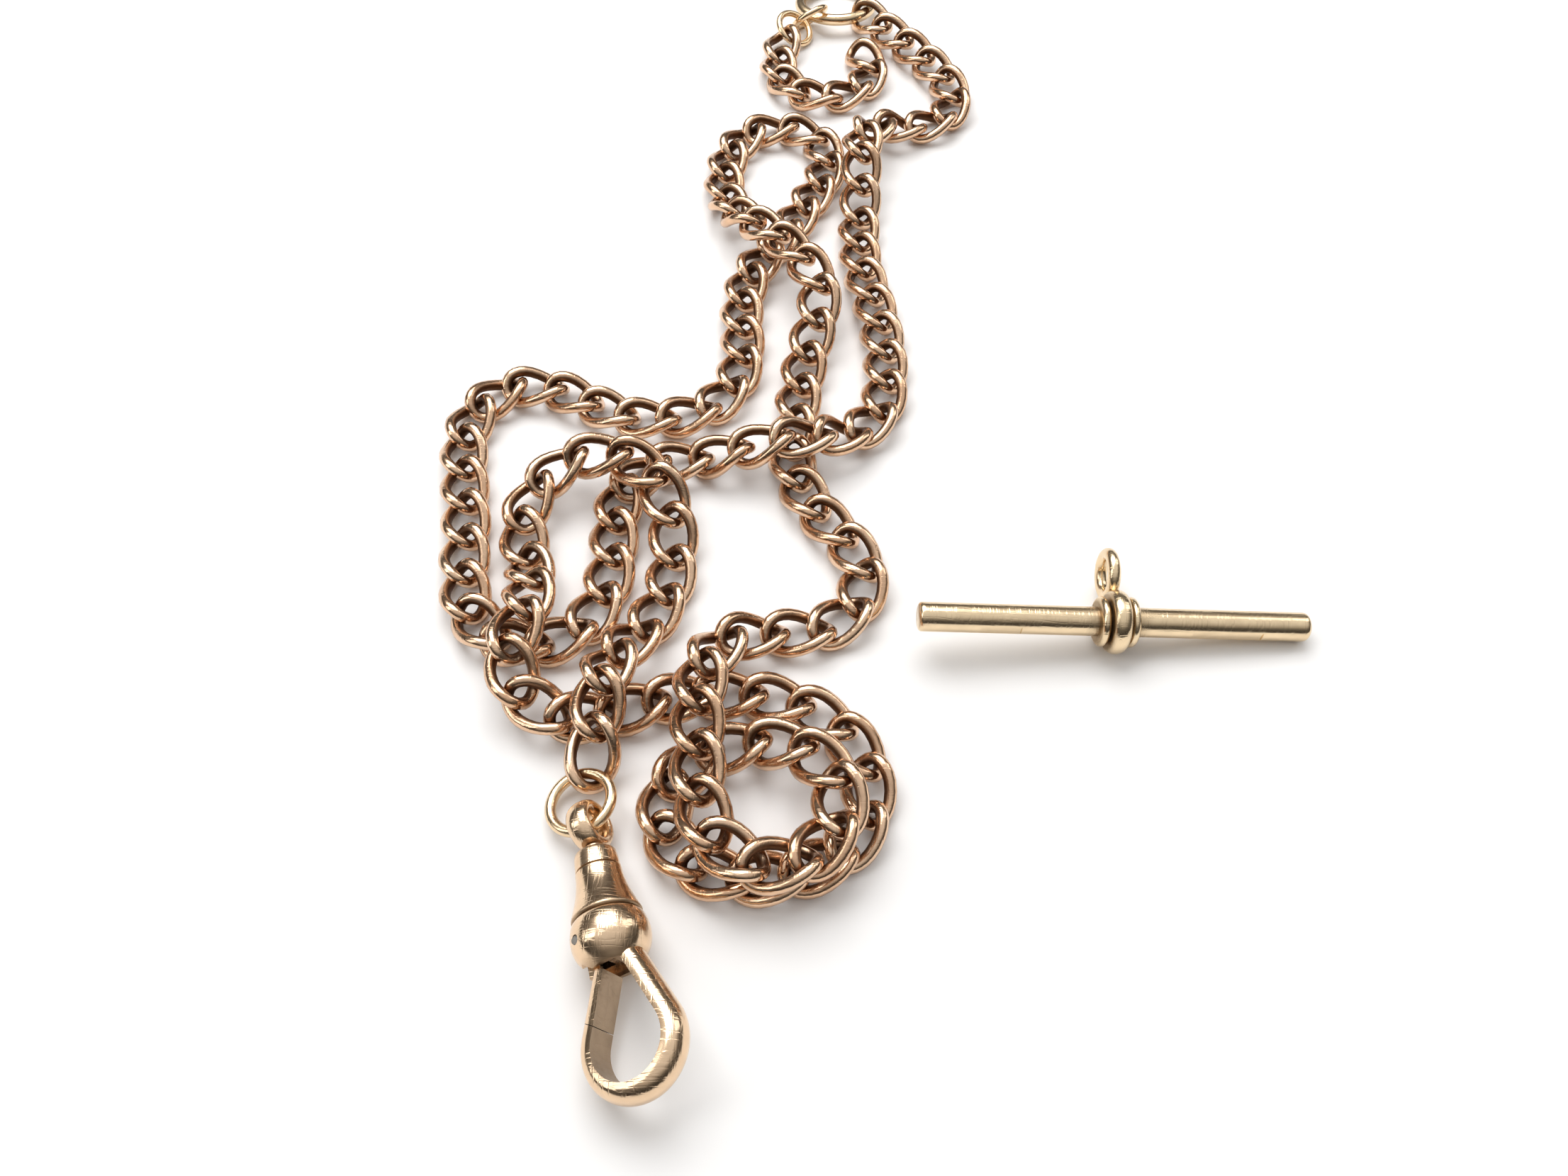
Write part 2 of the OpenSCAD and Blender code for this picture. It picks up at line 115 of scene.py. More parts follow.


# %% Tarnish and painted shade
tarnish_and_shade_group, given, result = new_group(
    "Tarnish and painted shade",
    [("Recess shade and tarnish", "NodeSocketFloat", 0.0), ("Scale", "NodeSocketFloat", 700.0),
     ("Amount", "NodeSocketFloat", 0.5)],
    [("Mask", "NodeSocketFloat")],
)
place = tarnish_and_shade_group.nodes.new("ShaderNodeTexCoord").outputs["Object"]
cloud = noise_node(tarnish_and_shade_group, place, given.outputs["Scale"])
uneven = math_node(tarnish_and_shade_group, "MULTIPLY_ADD", cloud, 1.5)
uneven.node.inputs[2].default_value = -0.45
# The recess input paints shade in hollows and between parts, where tarnish also gathers.
held = math_node(tarnish_and_shade_group, "MULTIPLY", given.outputs["Recess shade and tarnish"], 1.25)
film_and_shade = math_node(tarnish_and_shade_group, "ADD", held, math_node(tarnish_and_shade_group, "MULTIPLY", uneven, 0.35))
tarnish_and_shade_group.links.new(math_node(tarnish_and_shade_group, "MULTIPLY", film_and_shade, given.outputs["Amount"], True),
                  result.inputs["Mask"])
print("tarnish group nodes", len(tarnish_and_shade_group.nodes))

# %% [markdown]
# A century of pockets leaves hair scratches in every direction, and a few small dents. Long thin
# cells of noise, stretched one way and then the other, give crossing scratches. They only change
# the height a little, so they show where a highlight runs over them.

# %% Pocket scratches
scratches, given, result = new_group(
    "Pocket scratches",
    [("Scale", "NodeSocketFloat", 1500.0), ("Dents", "NodeSocketFloat", 0.4)],
    [("Height", "NodeSocketFloat"), ("Mask", "NodeSocketFloat")],
)
place = scratches.nodes.new("ShaderNodeTexCoord").outputs["Object"]
hairs = []
for turn, stretch in (((0.3, 0.2, 0.5), (1.0, 0.06, 0.3)), ((0.1, 0.6, 2.0), (0.07, 1.0, 0.3))):
    mapping = scratches.nodes.new("ShaderNodeMapping")
    mapping.inputs["Rotation"].default_value = turn
    mapping.inputs["Scale"].default_value = stretch
    scratches.links.new(place, mapping.inputs["Vector"])
    fine = noise_node(scratches, mapping.outputs["Vector"], given.outputs["Scale"], 2.0)
    line = math_node(scratches, "ABSOLUTE", math_node(scratches, "SUBTRACT", fine, 0.5), 0.0)
    hairs.append(math_node(scratches, "SUBTRACT", 1.0, math_node(scratches, "MULTIPLY", line, 22.0), True))
both = math_node(scratches, "MAXIMUM", hairs[0], hairs[1])
soft_dents = noise_node(scratches, place, 420.0, 1.0)
height = math_node(scratches, "SUBTRACT", math_node(
    scratches, "MULTIPLY", soft_dents, given.outputs["Dents"]), math_node(
    scratches, "MULTIPLY", both, 0.12))
scratches.links.new(height, result.inputs["Height"])
scratches.links.new(both, result.inputs["Mask"])
print("scratch group nodes", len(scratches.nodes))


# %% [markdown]
# Each alloy is a metal with its own warm colour. The mask of tarnish and painted shade darkens it
# and dulls it. The recess, painted shade with some tarnish where faces look inwards or parts meet,
# comes from an attribute on the piece, because only the piece knows which of its faces look
# inwards. A piece without that attribute reads zero and keeps only the thin cloudy film.

# %% One gold alloy
def gold(name, clean, film_and_shade, roughness, amount, dents, bump, scale=700.0):
    material = bpy.data.materials.new(name)
    material.use_nodes = True
    tree = material.node_tree
    shader = tree.nodes["Principled BSDF"]
    shader.inputs["Metallic"].default_value = 1.0
    recess_shade_and_tarnish = tree.nodes.new("ShaderNodeAttribute")
    recess_shade_and_tarnish.attribute_name = "recess_shade_and_tarnish"
    tone = tree.nodes.new("ShaderNodeAttribute")
    tone.attribute_name = "tone"
    dull = tree.nodes.new("ShaderNodeGroup")
    dull.node_tree = tarnish_and_shade_group
    dull.inputs["Scale"].default_value = scale
    dull.inputs["Amount"].default_value = amount
    tree.links.new(recess_shade_and_tarnish.outputs["Fac"], dull.inputs["Recess shade and tarnish"])
    worn = tree.nodes.new("ShaderNodeGroup")
    worn.node_tree = scratches
    worn.inputs["Dents"].default_value = dents
    lively = tree.nodes.new("ShaderNodeMix")
    lively.data_type = "RGBA"
    lively.inputs["A"].default_value = (*clean, 1)
    lively.inputs["B"].default_value = (clean[0] * 0.9, clean[1] * 0.82, clean[2] * 0.76, 1)
    tree.links.new(tone.outputs["Fac"], lively.inputs["Factor"])
    # The mask mixes the dark brown of tarnish and painted shade into the base colour.
    colour = tree.nodes.new("ShaderNodeMix")
    colour.data_type = "RGBA"
    colour.inputs["B"].default_value = (*film_and_shade, 1)
    tree.links.new(lively.outputs["Result"], colour.inputs["A"])
    tree.links.new(dull.outputs["Mask"], colour.inputs["Factor"])
    tree.links.new(colour.outputs["Result"], shader.inputs["Base Color"])
    rough = math_node(tree, "MULTIPLY_ADD", dull.outputs["Mask"], 0.32)
    rough.node.inputs[2].default_value = roughness
    rough = math_node(tree, "ADD", rough, math_node(tree, "MULTIPLY", worn.outputs["Mask"], 0.06))
    tree.links.new(rough, shader.inputs["Roughness"])
    relief = tree.nodes.new("ShaderNodeBump")
    relief.inputs["Strength"].default_value = bump
    relief.inputs["Distance"].default_value = 0.00012
    tree.links.new(worn.outputs["Height"], relief.inputs["Height"])
    tree.links.new(relief.outputs["Normal"], shader.inputs["Normal"])
    return material


rose_gold = gold("rose gold wire", (0.85, 0.59, 0.40), (0.14, 0.065, 0.03), 0.12, 1.0, 0.25, 0.35)
pale_gold = gold("pale gold clip", (0.86, 0.63, 0.42), (0.20, 0.12, 0.06), 0.14, 0.7, 0.5, 0.5)
yellow_gold = gold("yellow gold bar", (0.88, 0.69, 0.45), (0.20, 0.12, 0.05), 0.16, 0.6, 0.5, 0.45)
ring_gold = gold("yellow gold ring", (0.87, 0.66, 0.42), (0.20, 0.11, 0.05), 0.15, 0.6, 0.4, 0.35)
# A darker, rougher copy of the clip's gold: painted shade on the hook's inner side and cut ends.
shaded_inner_gold = gold("painted shade inside of the hook", (0.42, 0.31, 0.21), (0.12, 0.08, 0.05), 0.34, 0.9, 0.6, 0.6)
spring_steel = gold("spring steel", (0.45, 0.42, 0.38), (0.10, 0.08, 0.06), 0.28, 0.9, 0.4, 0.3)
print("alloys", [m.name for m in (rose_gold, pale_gold, yellow_gold, ring_gold, spring_steel)])

# %% [markdown]
# A curb link is a loop of round wire with square shoulders, twisted by an eighth of a turn at
# each end so that the chain lies flat. A curve with a round bevel is how wire is best described:
# its path is the centre line, and its depth is half the wire. It is made into a mesh once, and
# that one link is then copied along the chain.

# %% The centre line of one link
LINK_LENGTH, LINK_WIDTH, LINK_WIRE = 7.0, 4.8, 1.1
LINK_TWIST, LINK_PITCH = math.radians(45), 4.2
HALF_LONG = (LINK_LENGTH - LINK_WIRE) / 2
HALF_WIDE = (LINK_WIDTH - LINK_WIRE) / 2


def square_off(v):
    return math.copysign(abs(v) ** 0.85, v)


def wire_point(turn):
    x = HALF_LONG * square_off(math.cos(turn))
    w = HALF_WIDE * square_off(math.sin(turn))
    twist = -LINK_TWIST * x / HALF_LONG
    return Vector((x, w * math.cos(twist), w * math.sin(twist)))


STEPS = 32
centre_line = [wire_point(2 * math.pi * i / STEPS) for i in range(STEPS)]
print("link centre line", len(centre_line), "points")

# %% One link as a mesh
path = bpy.data.curves.new("link path", "CURVE")
path.dimensions = "3D"
path.bevel_depth = LINK_WIRE / 2
path.bevel_resolution = 3
spline = path.splines.new("POLY")
spline.points.add(STEPS - 1)
for knot, spot in zip(spline.points, centre_line):
    knot.co = (*spot, 1)
spline.use_cyclic_u = True
carrier = bpy.data.objects.new("link path", path)
bpy.context.scene.collection.objects.link(carrier)
bpy.context.view_layer.update()
link_mesh = bpy.data.meshes.new_from_object(
    carrier.evaluated_get(bpy.context.evaluated_depsgraph_get()))
bpy.data.objects.remove(carrier)
print("one link has", len(link_mesh.polygons), "faces")


# %% [markdown]
# The wire's inner side, which faces the hole of the loop, is darker: tarnish stays there, since no
# polishing cloth reaches it, and shade is painted there too, where the loop's own wire and its
# neighbours shade it. Each vertex is compared with the nearest point of the centre line: if it
# leans towards the middle of the link, its recess value is high, and the painted shade and
# tarnish gather there.

# %% Paint shade and tarnish on the inner side of the wire
def inward_shade(spot):
    nearest = min(centre_line, key=lambda c: (c - spot).length_squared)
    inward = (spot - nearest).normalized().dot(-nearest.normalized())
    return max(0.0, min(1.0, inward * 1.15 - 0.12))


recess_shade_and_tarnish = link_mesh.attributes.new("recess_shade_and_tarnish", "FLOAT", "POINT")
tone = link_mesh.attributes.new("tone", "FLOAT", "POINT")
for vertex in link_mesh.vertices:
    recess_shade_and_tarnish.data[vertex.index].value = inward_shade(vertex.co)
print("most sheltered", round(max(d.value for d in recess_shade_and_tarnish.data), 2))

# %% [markdown]
# The chain's lay is a line of route points, each with a height and a roll. Where the chain
# crosses itself the upper pass is lifted. A smooth curve runs through the points, and the links'
# pivots are stepped along it, one pitch apart. Fourteen rows, the eighth to the twenty-first,
# weren't chosen by hand: a random search moved them until the links cleared each other. The rings'
# and the clip's places further down come from such searches too.

# %% The lay of the chain
ROUTE = [
    (-16, 51.5, 1.7, 0), (-15.6, 55.2, 3.8, 0), (-15.5, 58.8, 4.6, 0), (-15, 62, 3.6, 0),
    (-13.2, 65, 1.9, 0), (-11.2, 68, 1.4, 0), (-10.2, 72, 1.4, 0), (-10.2, 75.5, 1.6, 2),
    (-10.9, 80.2, 3.3, -3), (-13.6, 83.3, 4.4, -20), (-17.4, 84.5, 4.6, -11),
    (-20.9, 83.8, 3.6, 2), (-23.8, 81.3, 2.3, 4), (-24.8, 77.2, 1.5, 12), (-23.6, 73.7, 1.5, 7),
    (-22.6, 70.1, 3.2, -6), (-22.7, 66.1, 4.4, -5), (-23.8, 63.7, 4.2, -8), (-23.4, 60.1, 3.3, -3),
    (-21.2, 57.5, 2.3, 9), (-17.3, 56.9, 1.6, 14), (-13.6, 58.2, 1.4, 6), (-9.4, 59.4, 1.4, 2),
    (-5, 59.6, 1.4, 0), (-1, 59.4, 1.4, 0), (3, 57.8, 1.4, 0), (6, 55, 1.4, 0), (7.2, 51, 1.4, 0),
    (6.4, 47, 1.4, 0), (3.6, 44, 1.4, 0), (-0.2, 42.9, 1.4, 0), (-4.4, 42.8, 1.4, 0),
    (-8.5, 44.5, 1.4, 0), (-10.2, 48.6, 1.4, 0), (-8.5, 52.7, 1.4, 0), (-4.4, 54.5, 1.6, 0),
    (-0.4, 54.1, 3, 3), (3.2, 52, 4.2, 6), (5, 48, 4.4, 8), (3, 43.8, 4.4, 6), (-1, 42.2, 4.4, 3),
    (-5.1, 43.9, 4.4, 0), (-6.8, 48, 4.4, 0), (-7, 52, 4.4, 0), (-7.2, 56, 4.4, 0),
    (-7.2, 59.5, 4.4, 0), (-6.2, 63.2, 3.2, 0), (-3, 66, 1.9, 0), (1, 65.6, 1.4, 0),
    (5, 66.9, 1.4, 0), (7.4, 70.2, 1.4, 0), (7.2, 74.2, 1.4, 0), (4.6, 77.8, 1.4, 0),
    (2, 81.2, 1.4, 0), (0.5, 86.5, 1.4, 0), (1, 90.5, 1.4, 0), (1.5, 94.5, 1.4, 0),
    (2, 98.5, 1.6, 0), (3, 102.5, 2.4, 0), (4, 106.5, 3.4, 0), (3.2, 110, 4.2, 0),
    (1, 113, 4.4, 0), (-1.8, 116.2, 4.4, 0), (-4.7, 119.7, 3.4, 0), (-6.4, 123.5, 1.7, 0),
    (-7, 128, 1.4, 0), (-6.6, 132, 1.4, 0), (-4.8, 136.2, 1.4, 0), (-0.6, 138, 1.4, 0),
    (3.6, 136.2, 1.4, 0), (5.2, 132, 1.4, 0), (4.4, 128, 1.4, 0), (2.8, 124.5, 1.4, 0),
    (1.2, 121, 1.4, 0), (-1, 117, 1.4, 0), (-3.5, 113, 1.4, 0), (-4.5, 108.5, 1.4, 0),
    (-4.5, 104, 1.4, 0), (-4.2, 99.5, 1.4, 0), (-5.2, 95.5, 1.4, 0), (-8, 92.3, 1.4, 0),
    (-12, 91.3, 1.4, 0), (-16, 91.7, 1.4, 0), (-20.5, 94, 1.4, 0), (-25.3, 96.2, 1.4, 0),
    (-29.7, 94.4, 1.4, 0), (-31.5, 90, 1.4, 0), (-31.2, 86, 1.4, 0), (-30.5, 82, 1.4, 0),
    (-29.9, 78, 1.4, 0), (-29.4, 74, 1.4, 0), (-29.2, 70.5, 1.4, 0), (-27.3, 66.3, 1.4, 0),
    (-22.6, 64.4, 1.4, 0), (-17.9, 66.3, 1.4, 0), (-16, 71, 1.4, 0), (-15.8, 75, 1.4, 0),
    (-16, 80, 1.4, 0), (-15.2, 83, 1.4, 0), (-13, 85.2, 1.4, 0), (-10, 86, 1.4, 0),
    (-6.5, 86, 1.8, 0), (-3, 86, 3.6, 0), (0.5, 86.4, 4.4, 0), (4, 87.3, 3.6, 0),
    (7.4, 89.3, 1.8, 3), (9.8, 92.5, 1.4, 4), (10.4, 97, 1.4, 0), (10.4, 101, 1.4, 0),
    (10, 105, 1.4, 0), (9.3, 109, 1.4, 0), (8.4, 113.5, 1.4, 0), (8.2, 118, 1.4, 0),
    (8.5, 122.5, 1.6, 0), (8.8, 126.5, 3.2, 0), (8.8, 130.5, 4.4, 0), (9.6, 134.5, 3.8, 0),
    (12.4, 137.2, 2.2, 0), (16, 137.8, 1.4, 0), (19.5, 139.8, 1.4, -3), (20.8, 143.5, 1.5, -7),
    (19.6, 147.5, 1.6, -11), (17.5, 151, 1.7, -15), (15, 154.5, 1.8, -19), (12.4, 157.6, 1.8, -23),
    (10, 161, 1.8, -27), (9, 162.4, 1.8, -28),
]
DROP_ROUTE = [
    (0.2, 156.2, 1.8, 0), (-0.6, 153, 1.4, 0), (-0.9, 149, 1.4, 0), (0.8, 145.3, 1.4, 0),
    (5, 143.5, 1.4, 0), (9.2, 145.3, 1.4, 0), (11, 149.5, 1.4, 0), (9.2, 153.7, 1.4, 0),
    (6.6, 155.4, 1.8, 0),
]


# %% Walk the links along a route
def smooth_path(route):
    points = [Vector(p) for p in route]
    path = []
    for i in range(len(points) - 1):
        a, b = points[max(i - 1, 0)], points[i]
        c, d = points[i + 1], points[min(i + 2, len(points) - 1)]
        for k in range(10):
            t = k / 10
            path.append(0.5 * (2 * b + (c - a) * t + (2 * a - 5 * b + 4 * c - d) * t * t
                               + (3 * b - a - 3 * c + d) * t ** 3))
    return path + [points[-1]]


def walk(path):
    pivots, here, j = [path[0]], path[0], 1
    while True:
        while j < len(path) and (path[j].xyz - here.xyz).length < LINK_PITCH:
            j += 1
        if j >= len(path):
            return pivots
        p, q = path[j - 1].xyz - here.xyz, path[j].xyz - path[j - 1].xyz
        qa, qb, qc = q.dot(q), 2 * p.dot(q), p.dot(p) - LINK_PITCH ** 2
        t = (-qb + math.sqrt(max(0.0, qb * qb - 4 * qa * qc))) / (2 * qa)
        here = path[j - 1] + (path[j] - path[j - 1]) * t
        pivots.append(here)


def link_place(a, b):
    x = (b.xyz - a.xyz).normalized()
    side = Vector((0, 0, 1)).cross(x).normalized()
    top, roll = x.cross(side), math.radians((a.w + b.w) / 2)
    y = side * math.cos(roll) + top * math.sin(roll)
    place = Matrix((x, y, x.cross(y))).transposed().to_4x4()
    place.translation = (a.xyz + b.xyz) / 2
    return place


main_pivots = walk(smooth_path(ROUTE))
drop_pivots = walk(smooth_path(DROP_ROUTE))
print("links", len(main_pivots) - 1, "and", len(drop_pivots) - 1)


# %% Thread the links of one stretch
def add_links(node, body, pivots, first, last):
    bm = bmesh.new()
    for i in range(first, min(last, len(pivots) - 2) + 1):
        before = len(bm.verts)
        bm.from_mesh(link_mesh)
        bm.verts.ensure_lookup_table()
        fresh = bm.verts[before:]
        shade = bm.verts.layers.float["tone"]
        for vertex in fresh:
            vertex[shade] = (i * 0.618) % 1
        bmesh.ops.transform(bm, matrix=link_place(pivots[i], pivots[i + 1]), verts=fresh)
    return add_piece(node + "_wire", bm, body, [node], rose_gold)


STRETCHES = [
    ("chain_knot_left", 8, 13), ("chain_inner_fall", 14, 20), ("chain_pile_top_row", 21, 27),
    ("chain_pile_front", 28, 34), ("chain_pile_upper", 35, 43), ("chain_right_loop", 44, 51),
    ("chain_middle_rise", 52, 57), ("chain_diagonal", 58, 63), ("chain_top_loop", 64, 70),
    ("chain_left_rise", 71, 77), ("chain_upper_row", 78, 82), ("chain_left_loop_top", 83, 87),
    ("chain_left_loop_side", 88, 93), ("chain_second_rise", 94, 99),
    ("chain_lower_row", 100, 105), ("chain_right_rise", 106, 113), ("chain_top_lobe", 114, 130),
]
for node, first, last in STRETCHES:
    add_links(node, "laid_chain", main_pivots, first, last)
add_links("drop_chain", "laid_chain", drop_pivots, 0, 3)
for i in range(8):
    add_links(f"tail_link_{i + 1}", f"tail_link_{i + 1}", main_pivots, i, i)
for i in range(3):
    add_links(f"drop_link_{i + 1}", f"drop_link_{i + 1}", drop_pivots, 4 + i, 4 + i)
print("stretches of chain", len(STRETCHES) + 12)


# %% [markdown]
# A ring is one turn of round wire. The shortest way to it is a small circle, spun once about
# the ring's axis. A full spin needs its first and last sections merged, or a seam would stay
# open. The same helper makes the loop on the T-bar and, with a squashed section, the clip's eye.

# %% Rings from a spun circle
def turn(x, y, z):
    return (Matrix.Rotation(math.radians(z), 4, "Z") @ Matrix.Rotation(math.radians(y), 4, "Y")
            @ Matrix.Rotation(math.radians(x), 4, "X"))


def wire_ring(bm, diameter, wire, place, flatten=1.0, steps=96):
    """makes one ring in an empty mesh, and moves it to its place"""
    section = bmesh.ops.create_circle(bm, segments=20, radius=wire / 2)["verts"]
    lay = Matrix.Translation(((diameter - wire) / 2, 0, 0)) @ Matrix.Rotation(
        math.pi / 2, 4, "X") @ Matrix.Scale(flatten, 4, (0, 1, 0))
    bmesh.ops.transform(bm, matrix=lay, verts=section)
    edges = list({e for v in section for e in v.link_edges})
    bmesh.ops.spin(bm, geom=section + edges, cent=(0, 0, 0), axis=(0, 0, 1),
                   angle=2 * math.pi, steps=steps, use_merge=True, use_duplicate=False)
    bmesh.ops.transform(bm, matrix=place, verts=bm.verts)


RINGS = [
    ("jump_ring", 6.3, 0.95, (-16.6, 49.25, 1.76), (-3.6, -16.5, 0)),
    ("end_ring", 10.6, 1.4, (6.74, 163.72, 1.4), (-7.2, 0, 0)),
    ("small_ring_outer", 5.2, 0.8, (3.3, 159.6, 2.1), (-48, -19, 22)),
    ("small_ring_inner", 5.2, 0.8, (1.35, 157.7, 1.7), (-23, 24, -74)),
]
for node, diameter, wire, spot, tilt in RINGS:
    bm = bmesh.new()
    wire_ring(bm, diameter, wire, Matrix.Translation(spot) @ turn(*tilt))
    add_piece(node + "_wire", bm, node, [node], ring_gold)
print("rings", [r[0] for r in RINGS])

# %% [markdown]
# The clip is turned work: a round neck that flares into a bell, and a round bulb that holds the
# gate's pin. A lathe cuts such shapes from a profile, and so does a spin. The profile is listed
# as stations along the clip with their radii, with a fine groove cut near the neck.

# %% Where the clip lies
EYE = Matrix.Translation((-16.15, 49, 2.06)) @ turn(0, -5, -75.4)
CLIP = EYE @ Matrix.Rotation(math.radians(26), 4, "X")
EYE_OUTER, EYE_BAND, EYE_TURN = 4.4, 1.1, -60
BELL_START, BELL_END, BELL_RIM = 4.7, 10.6, 2.77
BULB_END, BULB_RADIUS = 14.6, 3.1
print("clip starts at", tuple(round(v, 2) for v in CLIP.translation))


# %% A lathe for profiles
def lathe(bm, profile, place, steps=72):
    """profile is (station, radius) along X"""
    spots = [bm.verts.new((x, r, 0)) for x, r in profile]
    edges = [bm.edges.new(pair) for pair in zip(spots, spots[1:])]
    bmesh.ops.spin(bm, geom=spots + edges, cent=(0, 0, 0), axis=(1, 0, 0),
                   angle=2 * math.pi, steps=steps, use_merge=True, use_duplicate=False)
    bmesh.ops.remove_doubles(bm, verts=bm.verts, dist=0.0005)
    bmesh.ops.recalc_face_normals(bm, faces=bm.faces)
    bmesh.ops.transform(bm, matrix=place, verts=bm.verts)


def rounded(points, each=5):
    """a smooth line through a few stations"""
    spots = [Vector(p) for p in points]
    line = []
    for i in range(len(spots) - 1):
        a, b = spots[max(i - 1, 0)], spots[i]
        c, d = spots[i + 1], spots[min(i + 2, len(spots) - 1)]
        for k in range(each):
            t = k / each
            line.append(0.5 * (2 * b + (c - a) * t + (2 * a - 5 * b + 4 * c - d) * t * t
                               + (3 * b - a - 3 * c + d) * t ** 3))
    return [tuple(p) for p in line + [spots[-1]]]


# %% Painted shade and tarnish where two turned shapes meet
def shade_and_tarnish_where_parts_meet(bm, place, rule):
    """writes the recess, painted shade with some tarnish, of each vertex from its station and radius on
    the lathe's axis
    """
    layer = bm.verts.layers.float.new("recess_shade_and_tarnish")
    back = place.inverted()
    for vertex in bm.verts:
        spot = back @ vertex.co
        vertex[layer] = max(0.0, min(1.0, rule(spot.x, math.hypot(spot.y, spot.z))))


# %% Eye and stem of the swivel
bm = bmesh.new()
tilt = Matrix.Translation((EYE_OUTER / 2, 0, 0)) @ Matrix.Rotation(math.radians(EYE_TURN), 4, "X")
wire_ring(bm, EYE_OUTER, EYE_BAND, EYE @ tilt, flatten=1.9)
add_piece("swivel_eye_loop", bm, "swivel", ["swivel_eye"], pale_gold)

# %% Bell
bm = bmesh.new()
neck = rounded([(BELL_START, 1.4), (4.8, 1.6), (5.05, 1.7), (5.7, 1.77), (6.3, 1.8)])
flare = rounded([(6.52, 1.85), (7.2, 1.9), (8.1, 2.07), (9.0, 2.32), (9.8, 2.6), (10.3, BELL_RIM),
                 (10.48, 2.76), (BELL_END, 2.66)])
bore = [(BELL_END, 1.45), (6.75, 1.45), (6.75, 0.9), (BELL_START, 0.9), (BELL_START, 1.4)]
lathe(bm, neck + [(6.36, 1.68), (6.46, 1.68)] + flare + bore, CLIP)
# Painted shade and tarnish: darkest in the groove, rising towards the rim where the bulb meets it, and
# fading from the neck's start.
shade_and_tarnish_where_parts_meet(bm, CLIP, lambda x, r: 1.0 if 6.34 < x < 6.49 else (x - 10.25) * 2.6 if x > 10.25
       else 0.6 - (x - BELL_START) * 1.2)
add_piece("bell_shell", bm, "clip_body", ["bell"], pale_gold, 50)
print("bell flares to", 2 * BELL_RIM, "mm")

# %% [markdown]
# The bulb is a lathe shape too, but its side is slotted for the gate. Cutters are the plain way
# to make a slot: two boxes and the pin's hole are taken away, and the cut bulb is kept as a mesh.

# %% Bulb with its slot
def cut(bm, cutters, place):
    """takes boxes and cylinders, given in the clip's own millimetres, from a shape"""
    body = bpy.data.meshes.new("blank")
    bm.to_mesh(body)
    bm.free()
    blank = bpy.data.objects.new("blank", body)
    bpy.context.scene.collection.objects.link(blank)
    tools = []
    for tool in cutters:
        mesh = bpy.data.meshes.new("cutter")
        bmesh.ops.recalc_face_normals(tool, faces=tool.faces)
        tool.to_mesh(mesh)
        tool.free()
        held = bpy.data.objects.new("cutter", mesh)
        bpy.context.scene.collection.objects.link(held)
        step = blank.modifiers.new("cut", "BOOLEAN")
        step.object, step.operation, step.solver = held, "DIFFERENCE", "EXACT"
        tools.append(held)
    bpy.context.view_layer.update()
    kept = bpy.data.meshes.new_from_object(
        blank.evaluated_get(bpy.context.evaluated_depsgraph_get()))
    for used in tools + [blank]:
        bpy.data.objects.remove(used)
    bm = bmesh.new()
    bm.from_mesh(kept)
    bmesh.ops.transform(bm, matrix=place, verts=bm.verts)
    return bm


def box_tool(low, high):
    tool = bmesh.new()
    bmesh.ops.create_cube(tool, size=1)
    size = Vector(high) - Vector(low)
    bmesh.ops.scale(tool, vec=size, verts=tool.verts)
    bmesh.ops.translate(tool, vec=(Vector(high) + Vector(low)) / 2, verts=tool.verts)
    return tool


def pin_tool(x, y, radius, length):
    tool = bmesh.new()
    bmesh.ops.create_cone(tool, cap_ends=True, segments=40, radius1=radius, radius2=radius,
                          depth=length)
    bmesh.ops.translate(tool, vec=(x, y, 0), verts=tool.verts)
    return tool


bm = bmesh.new()
shell = rounded([(10.62, 2.58), (10.8, 2.8), (11.2, 2.97), (11.9, BULB_RADIUS), (12.6, 3.08),
                 (13.3, 2.88), (13.9, 2.5), (14.35, 2.12), (BULB_END, 1.9)])
lathe(bm, [(BELL_END, 0), (BELL_END, 2.5)] + shell + [(BULB_END, 0)], Matrix.Identity(4))
bm = cut(bm, [box_tool((11.3, -3.5, -0.8), (15.5, -0.4, 0.8)),
              box_tool((13.9, -3.3, -1.5), (14.9, 0.75, 1.5)),
              pin_tool(12.4, -1.6, 0.37, 7.2)], CLIP)
# Painted shade and tarnish next to the bell, and towards the end where the hook meets the bulb.
shade_and_tarnish_where_parts_meet(bm, CLIP, lambda x, r: max(1.0 - (x - BELL_END) * 3.5, (x - 13.7) * 0.8))
add_piece("bulb_shell", bm, "clip_body", ["gate_bulb"], pale_gold, 35)
print("bulb is", 2 * BULB_RADIUS, "mm across")

# %% [markdown]
# The hook is a band of half-round section, bent round with its flat side inwards. The section is
# one face, slightly fuller at its shoulders than in the CAD. It is drawn out along the back arm,
# spun round the bend, and drawn out again along the gate's side. A slanting cut then parts the
# hook's tip from the gate, as on the real clip.

# %% Half-round section and its path
THICK, WIDE, HOOK_WIDTH = 1.35, 2.8, 8.6
BEND = Vector((20.7, 0.3, 0))
BEND_RADIUS = HOOK_WIDTH / 2 - THICK
CUT_ANGLE, CUT_GAP = -36, 0.06
BACK, GATE = Vector((14.0, 0.95, 0)), Vector((14.9, -0.4, 0))


def arm(start, side):
    reach = BEND - start
    angle = math.atan2(side * reach.y, reach.x) + math.asin(BEND_RADIUS / reach.length)
    return angle, math.sqrt(reach.length_squared - BEND_RADIUS ** 2)


